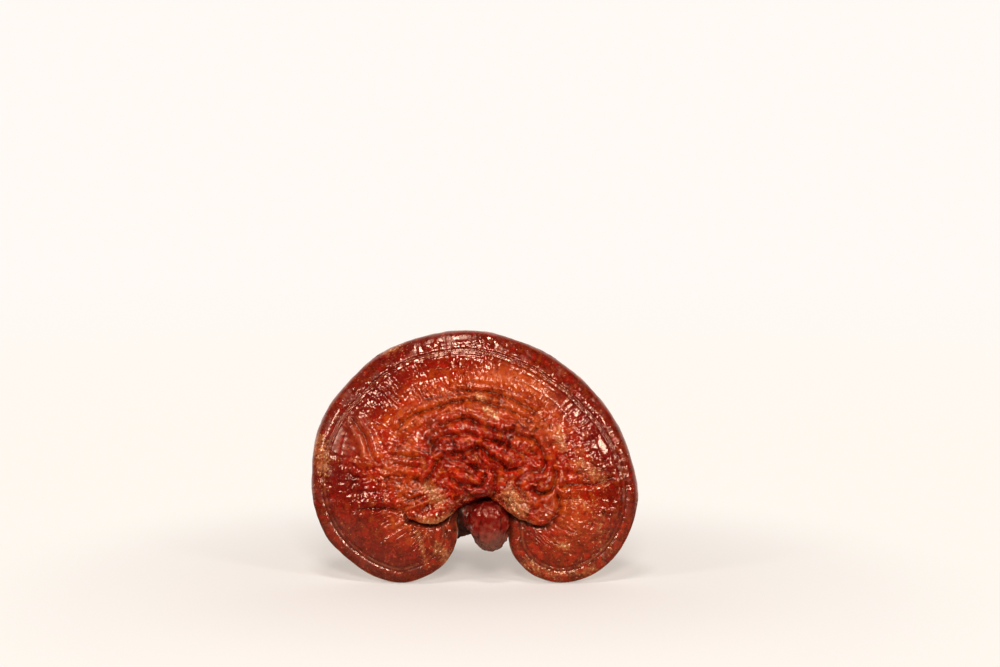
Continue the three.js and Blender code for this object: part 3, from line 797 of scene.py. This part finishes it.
def rough_stem():
    form = bmesh.new()
    rings = [[form.verts.new(p) for p in ring] for ring in stalk_rings()]
    for low, high in zip(rings, rings[1:]):
        for j in range(STALK_SIDES):
            k = (j + 1) % STALK_SIDES
            form.faces.new((low[j], low[k], high[k], high[j]))
    form.faces.new(rings[0][::-1])
    form.faces.new(rings[-1])
    for ball in BALLS:
        for vert in bmesh.ops.create_icosphere(form, subdivisions=4, radius=1)["verts"]:
            vert.co = Vector([c + r * x for c, r, x in zip(ball["centre"], ball["radii"], vert.co)])
    geometry = form.verts[:] + form.edges[:] + form.faces[:]
    bmesh.ops.bisect_plane(form, geom=geometry, plane_co=(0, 0, 0), plane_no=(0, 0, -1), clear_outer=True)
    open_edges = [e for e in form.edges if e.is_boundary]
    bmesh.ops.edgeloop_fill(form, edges=open_edges)
    bmesh.ops.recalc_face_normals(form, faces=form.faces)
    mesh = bpy.data.meshes.new("rough")
    form.to_mesh(mesh)
    form.free()
    return mesh


def read_triples(items, name):
    values = np.empty(len(items) * 3)
    items.foreach_get(name, values)
    return values.reshape(-1, 3)


def spatial(points, size, seed):
    """Smooth noise in space, about -1 to 1, with features of the given size."""
    return np.array([noise.noise(Vector(p)) for p in points / size + seed * 17.3])


def build_stem():
    piece = add_object("stem_crust", rough_stem())
    remesh = piece.modifiers.new("remesh", "REMESH")
    remesh.mode = "VOXEL"
    remesh.voxel_size = STEM_VOXEL
    relax = piece.modifiers.new("relax", "SMOOTH")
    relax.factor, relax.iterations = STEM_RELAX
    evaluated = piece.evaluated_get(bpy.context.evaluated_depsgraph_get())
    mesh = bpy.data.meshes.new_from_object(evaluated)
    piece.modifiers.clear()
    piece.data = mesh
    points, normals = read_triples(mesh.vertices, "co"), read_triples(mesh.vertex_normals, "vector")
    aways = [np.linalg.norm((points - ball["centre"]) / ball["radii"], axis=1) for ball in BALLS]
    knob = smooth((1.5 - np.min(aways, axis=0)) / 0.3)
    seam = 0.6 * knob * gaussian((np.min(aways[2:], axis=0) - aways[0]) / BALL_SEAM)
    grooves = np.abs(spatial(points * STALK_GRAIN, 2.6, 2))
    knob_grooves = np.abs(spatial(points * KNOB_GRAIN, 2.1, 3))
    lift = STEM_FOLD["swell"] * spatial(points, 9, 1) * (1 - 0.6 * knob)
    lift -= mix(STEM_FOLD["groove"] * grooves, STEM_FOLD["knob_groove"] * knob_grooves, knob)
    lift += STEM_FOLD["fine"] * spatial(points, 1.3, 4)
    lift -= STEM_FOLD["seam"] * seam
    lift += STEM_FOLD["dent"] * knob * spatial(points, 2.2, 5)
    lift *= smooth((points[:, 2] - FOOT_START) / FOOT_FADE)
    points = points + normals * lift[:, None] + np.array([0, STAND_Y, 0])
    points[:, 2] = np.where(points[:, 2] < FOOT_FLAT, 0, points[:, 2])
    mesh.vertices.foreach_set("co", (points * MM).ravel())
    mesh.update()
    mesh.shade_smooth()
    add_attribute(piece, "knob", knob)
    # Where the stem's colour gets painted shade: along its grooves and in the knob's seams
    add_attribute(piece, "groove", mix(grooves, 0.05 + knob_grooves, knob) * (1 - seam))
    add_attribute(piece, "height", points[:, 2])
    return piece


def srgb(red, green, blue):
    """A colour as seen, 0 to 255, made linear."""
    scaled = [c / 255 for c in (red, green, blue)]
    return tuple(c / 12.92 if c < 0.04045 else ((c + 0.055) / 1.055) ** 2.4 for c in scaled) + (1,)


class Nodes:
    """The nodes of a material or of the world."""

    def __init__(self, tree):
        self.tree = tree

    def node(self, kind, inputs=None, output=0, **settings):
        node = self.tree.nodes.new("ShaderNode" + kind)
        for name, value in settings.items():
            setattr(node, name, value)
        for socket, value in (inputs or {}).items():
            self.feed(node.inputs[socket], value)
        return node.outputs[output]

    def feed(self, socket, value):
        if isinstance(value, bpy.types.NodeSocket):
            self.tree.links.new(value, socket)
        else:
            socket.default_value = value

    def math(self, operation, a, b=0.0, c=0.0):
        return self.node("Math", {0: a, 1: b, 2: c}, operation=operation)

    def times(self, a, b, plus=0.0):
        return self.math("MULTIPLY_ADD", a, b, plus)

    def plus(self, a, b):
        return self.math("ADD", a, b)

    def swing(self, noise, reach):
        """Noise that ran from 0 to 1, now from -reach to reach."""
        return self.times(noise, 2 * reach, -reach)

    def band(self, value, low, high):
        """0 where the value is low, 1 where it is high, and smooth between."""
        inputs = {"Value": value, "From Min": low, "From Max": high}
        return self.node("MapRange", inputs, interpolation_type="SMOOTHSTEP")

    def scale(self, value, low, high):
        """From low at 0 to high at 1."""
        return self.node("MapRange", {"Value": value, "To Min": low, "To Max": high})

    def mix(self, share, a, b, way="MIX"):
        inputs = {0: share, 6: a, 7: b}
        return self.node("Mix", inputs, output=2, data_type="RGBA", blend_type=way, clamp_factor=True)

    def ramp(self, value, stops):
        node = self.tree.nodes.new("ShaderNodeValToRGB")
        self.feed(node.inputs[0], value)
        marks = node.color_ramp.elements
        for place, colour in stops[2:]:
            marks.new(place)
        for mark, (place, colour) in zip(marks, stops):
            mark.position = place
            mark.color = srgb(*colour)
        return node.outputs[0]


class Finish(Nodes):
    """A node material in the making."""

    def __init__(self, name):
        self.material = bpy.data.materials.new(name)
        self.material.use_nodes = True
        super().__init__(self.material.node_tree)
        self.surface = self.tree.nodes["Principled BSDF"]
        self.place = self.node("TexCoord", output="Object")

    def attributes(self, *names):
        return [self.node("Attribute", output="Fac", attribute_name=name) for name in names]

    def noise(self, size, detail=2.0, roughness=0.5, place=None):
        """Noise about 0.5 whose features are about size mm."""
        scale = 1 / size if place else 1 / (size * MM)
        inputs = {"Vector": place or self.place, "Scale": scale, "Detail": detail, "Roughness": roughness}
        return self.node("TexNoise", inputs)

    def paint(self, colour, coats):
        """The colour under coats, each a mask, a tone, a strength and the way that they mix."""
        for mask, tone, share, *way in coats:
            colour = self.mix(self.times(mask, share), colour, srgb(*TONES[tone]), *way)
        return colour

    def bump(self, height, depth):
        return self.node("Bump", {"Height": height, "Distance": depth * MM, "Strength": 1.0})

    def finish(self, colour, roughness, normal, **plain):
        self.feed(self.surface.inputs["Base Color"], colour)
        self.feed(self.surface.inputs["Roughness"], roughness)
        self.feed(self.surface.inputs["Normal"], normal)
        for name, value in plain.items():
            self.surface.inputs[name.replace("_", " ")].default_value = value
        return self.material


GROWTH_COLOURS = [
    (0.0, (138, 10, 1)), (0.22, (160, 12, 1)), (0.42, (156, 22, 3)), (0.62, (146, 22, 4)),
    (0.74, (124, 16, 4)), (0.82, (112, 14, 4)), (0.9, (106, 18, 8)), (1.0, (104, 26, 12)),
]

LACQUER_TINT = (1, 0.62, 0.46, 1)

# The width of a pore, in mm
PORE = 0.42

PORE_COLOURS = [
    (0.0, (112, 58, 34)), (0.3, (136, 84, 50)), (0.5, (170, 124, 80)), (0.75, (190, 148, 102)),
    (0.84, (176, 130, 84)), (0.93, (206, 170, 122)), (1.0, (214, 182, 138)),
]

# Colours as seen, 0 to 255: of the crust, of the pores and of the stem, among them tones for painted shade
# and highlights
TONES = dict(
    warm=(190, 76, 16), cool=(164, 10, 2), bright=(206, 40, 8), maroon=(96, 10, 8),
    orange=(188, 74, 12), dark=(100, 16, 16), dark_speck_and_shade=(160, 80, 60), tan=(196, 110, 62),
    flake=(206, 140, 88), pale_flake_and_glint=(240, 208, 152), dust=(146, 84, 58), trough_shade=(140, 70, 60),
    crack=(60, 6, 2), foot=(58, 5, 1), lobe=(150, 118, 88), edge=(206, 140, 92),
    pore_light=(214, 182, 136), pore_dark=(138, 92, 56), spot=(120, 78, 48), pit=(96, 60, 36),
    rim=(124, 44, 22), blotch=(150, 66, 50), groove=(40, 12, 12), scuff=(132, 92, 66),
)


def crust_finish():
    m = Finish("crust")
    growth, shade, crest, tone, hue = m.attributes("growth", "shade", "crest", "tone", "hue")
    orange, dark, tan, edge = m.attributes("orange", "dark", "tan", "edge")
    matte, middle, lobes, clear = m.attributes("matte", "middle", "lobes", "open")
    colour = m.ramp(m.plus(growth, m.swing(m.noise(7, 3), 0.08)), GROWTH_COLOURS)
    inside = m.band(growth, 0.8, 0.6)
    mottled = m.math("MAXIMUM", middle, m.times(lobes, 0.5))
    speck = m.times(tone, 0.6, m.swing(m.noise(0.8, 3, 0.6), 1))
    # Random specks of wear, with painted light from the relief: its crests painted lighter and its troughs
    # darker
    wear_and_shading = m.times(crest, m.scale(middle, 0.25, 0.45), speck)
    colour = m.paint(colour, [
        (m.band(hue, 0.0, 0.4), "warm", m.scale(inside, 0.2, 0.75)),
        (m.band(hue, -0.05, -0.4), "cool", m.scale(inside, 0.45, 0.7)),
        (m.times(m.band(m.noise(3.4, 2), 0.5, 0.6), mottled), "bright", 0.7),
        (m.times(m.band(m.noise(4.2, 3), 0.5, 0.6), mottled), "maroon", 0.45),
        (orange, "orange", m.scale(m.noise(1.8, 4, 0.65), -0.1, 1.4)),
        (dark, "dark", m.scale(m.noise(3.4, 3), 0.3, 1.2)),
        # Darker specks that lean to the troughs: random mottle, and painted shade in the troughs
        (m.band(wear_and_shading, 0.0, -0.6), "dark_speck_and_shade", 0.8, "MULTIPLY"),
    ])
    # Paler specks that lean to the crests: wear, and a painted highlight on the crests
    light = m.mix(m.band(growth, 0.6, 0.85), srgb(206, 104, 56), srgb(168, 70, 48))
    colour = m.mix(m.times(m.band(wear_and_shading, 0.22, 0.65), 0.6), colour, light)
    broad = m.plus(tan, m.swing(m.noise(2.2, 4, 0.6), 0.8))
    flakes = m.times(wear_and_shading, 0.06, m.times(tan, 0.17, m.noise(0.9, 4, 0.6)))
    vein = m.math("ABSOLUTE", m.math("SUBTRACT", m.noise(3.6, 3, 0.6), 0.5))
    crack = m.times(m.band(vein, 0.018, 0.003), m.band(middle, 0.15, 0.6))
    colour = m.paint(colour, [
        (m.band(broad, 0.35, 0.8), "tan", 0.4),
        (m.band(flakes, 0.62, 0.74), "flake", 0.7),
        # The palest flecks: pale flakes, partly painted glints in the tan patches
        (m.band(flakes, 0.74, 0.84), "pale_flake_and_glint", 1),
        (m.times(m.band(growth, 0.72, 0.98), m.band(m.noise(0.6, 4, 0.7), 0.54, 0.7)), "dust", 0.4),
        # Painted shade in the troughs of the relief
        (m.band(crest, -0.1, -0.7), "trough_shade", 0.45, "MULTIPLY"),
        # Dark lines in the fine cracks that the bump carves: painted shade
        (crack, "crack", 0.4),
        # Painted shade from the shade mask: crease feet, under the lips, fold lines and grooves
        (shade, "foot", 0.92),
        (lobes, "lobe", 0.06),
        # The pale rim line, with painted highlights on the grooves' ridge and along the lip's crest
        (edge, "edge", 1),
    ])
    pleats = m.noise(1.0, 1, 0.5, place=m.node("Attribute", output="Vector", attribute_name="strip"))
    outer = m.times(m.band(growth, 0.4, 0.6), clear)
    grains = m.times(m.noise(1.0, 1, 0.5), m.math("SUBTRACT", 1.3, outer))
    height = m.times(m.times(pleats, outer, grains), m.scale(matte, 1.0, 0.2))
    height = m.times(crack, -0.4, m.times(height, m.scale(middle, 1.0, 1.7)))
    rough = m.times(orange, 0.12, m.scale(m.noise(2.5, 3), 0.04, 0.18))
    dull = m.times(m.band(m.noise(4, 3), 0.48, 0.6), m.band(growth, 0.84, 0.9))
    rough = m.times(dull, 0.2, m.times(matte, 0.16, rough))
    return m.finish(colour, rough, m.bump(height, 0.12), Specular_Tint=LACQUER_TINT, Specular_IOR_Level=0.9,
                    Coat_Weight=0.06, Coat_Roughness=0.05)


def pore_finish():
    m = Finish("pores")
    growth, tone = m.attributes("growth", "tone")
    colour = m.ramp(m.plus(growth, m.swing(m.noise(14, 3), 0.1)), PORE_COLOURS)
    cells = m.node("TexVoronoi", {"Vector": m.place, "Scale": 1 / (PORE * MM)}, output="Distance")
    pit = m.band(cells, 0.45, 0.15)
    colour = m.paint(colour, [
        (m.band(tone, 0.0, 0.7), "pore_light", 0.45),
        (m.band(tone, 0.0, -0.7), "pore_dark", 0.4),
        (m.band(m.noise(2.5, 5, 0.7), 0.52, 0.7), "spot", 0.4),
        # Darker pore mouths: painted shade in the pores
        (pit, "pit", 0.5),
        (m.band(m.plus(growth, m.swing(m.noise(3.5, 4, 0.6), 0.025)), 0.965, 1.0), "rim", 1),
    ])
    return m.finish(colour, 0.75, m.bump(m.math("SUBTRACT", m.noise(1.6, 4), pit), 0.15), IOR=1.45)


def stem_finish():
    m = Finish("stem_lacquer")
    knob, groove, height = m.attributes("knob", "groove", "height")
    colour = m.mix(m.band(m.noise(6, 4), 0.35, 0.65), srgb(46, 19, 15), srgb(92, 32, 23))
    low = m.plus(height, m.swing(m.noise(3, 4), 3))
    ball = m.mix(m.band(low, 23, 14), srgb(114, 16, 10), srgb(112, 75, 63))
    ball = m.paint(ball, [(m.band(m.noise(2.6, 3), 0.46, 0.62), "blotch", 0.45)])
    colour = m.paint(m.mix(m.band(knob, 0.25, 0.6), colour, ball), [
        # Painted shade along the stem's grooves and in the seams of the knob
        (m.band(groove, 0.12, 0.0), "groove", 1),
        (m.band(m.noise(1.4, 5, 0.7), 0.6, 0.72), "scuff", 1),
    ])
    rough = m.mix(knob, m.scale(m.noise(3, 3), 0.2, 0.5), m.scale(m.noise(2.5, 3), 0.04, 0.2))
    normal = m.bump(m.noise(1.2), 0.14)
    return m.finish(colour, rough, normal, Specular_Tint=LACQUER_TINT, Specular_IOR_Level=0.7)


def cut_finish():
    m = Finish("cut_foot")
    colour = m.mix(m.noise(2, 6, 0.7), srgb(110, 72, 44), srgb(176, 132, 88))
    return m.finish(colour, 0.85, m.bump(m.noise(0.6, 5, 0.7), 0.3), IOR=1.4)


cap = build_cap()
cap.data.materials.append(crust_finish())
cap.data.materials.append(pore_finish())
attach(cap, "root")
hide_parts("cap")

stem = build_stem()
stem.data.materials.append(stem_finish())
stem.data.materials.append(cut_finish())
for face in stem.data.polygons:
    if face.center.z < CUT_HEIGHT * MM and face.normal.z < CUT_SLOPE:
        face.material_index = 1
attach(stem, "root")
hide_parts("stem")

# The picture: the frame's size in pixels, and where the middle of the cap falls in it
FRAME = (1000, 667)
CAP_PIXEL = (474.5, 455.5)
CAP_MIDDLE = 46.35
MM_PER_PIXEL = 0.368
LENS, SENSOR = 85, 36
PITCH = math.radians(7)


def make_camera():
    focal = LENS / SENSOR * FRAME[0]
    away = focal * MM_PER_PIXEL * MM
    forward = Vector((0, math.cos(PITCH), -math.sin(PITCH)))
    up = Vector((0, math.sin(PITCH), math.cos(PITCH)))
    right = Vector((1, 0, 0))
    target = Vector((0, STAND_Y + CAP_MIDDLE * math.sin(CAP_LEAN), CAP_MIDDLE * math.cos(CAP_LEAN))) * MM
    across = (CAP_PIXEL[0] - FRAME[0] / 2) / focal
    down = (CAP_PIXEL[1] - FRAME[1] / 2) / focal
    data = bpy.data.cameras.new("camera")
    data.lens, data.sensor_width = LENS, SENSOR
    camera = add_object("camera", data)
    camera.location = target - away * (forward + right * across - up * down)
    camera.rotation_euler = (math.pi / 2 - PITCH, 0, 0)
    bpy.context.scene.camera = camera


make_camera()

# The lights: their colour, and each one's place, the height that it aims at, its size and its power
WARM = (1, 0.965, 0.93)
LIGHTS = dict(
    overhead=((-0.06, -0.34, 0.84), 0.04, (0.2, 0.13), 2.5),
    front=((0.03, -0.84, 0.5), 0.04, (0.2, 0.22), 5.2),
    front_left=((-0.7, -0.5, 0.44), 0.05, (0.16, 0.22), 2.2),
    front_right=((0.62, -0.62, 0.46), 0.05, (0.16, 0.22), 2.5),
)

# The room: a bright backdrop behind, above the floor, and a dim room in front
BACKDROP = (1, 0.955, 0.91, 1)
ROOM = (0.03, 0.021, 0.015, 1)
BEHIND = (0.05, 0.6)
ABOVE = (-0.3, -0.1)


def make_light(name, place, aim, size, power):
    data = bpy.data.lights.new(name, "AREA")
    data.shape = "RECTANGLE"
    data.size, data.size_y = size
    data.energy = power
    data.color = WARM
    light = add_object(name, data)
    light.location = place
    light.rotation_euler = (Vector((0, 0, aim)) - Vector(place)).to_track_quat("-Z", "Y").to_euler()


for name, settings in LIGHTS.items():
    make_light(name, *settings)

world = bpy.data.worlds.new("studio")
bpy.context.scene.world = world
world.use_nodes = True
sky = Nodes(world.node_tree)
direction = sky.node("TexCoord", output="Generated")
behind = sky.band(sky.node("SeparateXYZ", {0: direction}, "Y"), *BEHIND)
above = sky.band(sky.node("SeparateXYZ", {0: direction}, "Z"), *ABOVE)
sky.feed(sky.tree.nodes["Background"].inputs["Color"], sky.mix(sky.times(behind, above), ROOM, BACKDROP))

# The floor, which glows as painted light that lightens its shadows near the cap: its size, its middle, where
# it turns to plain white and where into the backdrop
FLOOR_RADIUS = 3.2
FLOOR_SIDES = 96
FLOOR_MIDDLE = (0, -0.04, 0)
FLOOR_GLOW = (0.06, 0.2)
HORIZON = (0.3, 1.2)
FLOOR_WHITE = (0.52, 0.49, 0.47, 1)
FLOOR_NEAR_GLOW = (0.33, 0.3, 0.275, 1)
FLOOR_FAR_GLOW = (1, 0.94, 0.87, 1)
floor_form = bmesh.new()
bmesh.ops.create_circle(floor_form, cap_ends=True, segments=FLOOR_SIDES, radius=FLOOR_RADIUS)
floor_mesh = bpy.data.meshes.new("floor")
floor_form.to_mesh(floor_mesh)
floor_form.free()
floor = add_object("floor", floor_mesh)
m = Finish("glowing_paper")
away = m.node("VectorMath", {0: m.place, 1: FLOOR_MIDDLE}, output="Value", operation="DISTANCE")
far = m.band(away, *FLOOR_GLOW)
horizon = m.band(away, *HORIZON)
# Painted light: the floor's own glow, dim near the cap and as bright as the backdrop far off
glow = m.mix(horizon, m.mix(far, FLOOR_NEAR_GLOW, FLOOR_FAR_GLOW), BACKDROP)
colour = m.mix(far, FLOOR_WHITE, (0, 0, 0, 1))
m.feed(m.surface.inputs["Emission Color"], glow)
m.surface.inputs["Emission Strength"].default_value = 1
m.surface.inputs["Specular IOR Level"].default_value = 0.0
floor_mesh.materials.append(m.finish(colour, 0.6, m.bump(m.noise(1.5, 3), 0.02)))
floor.visible_glossy = False
bpy.context.scene.view_settings.view_transform = "Standard"
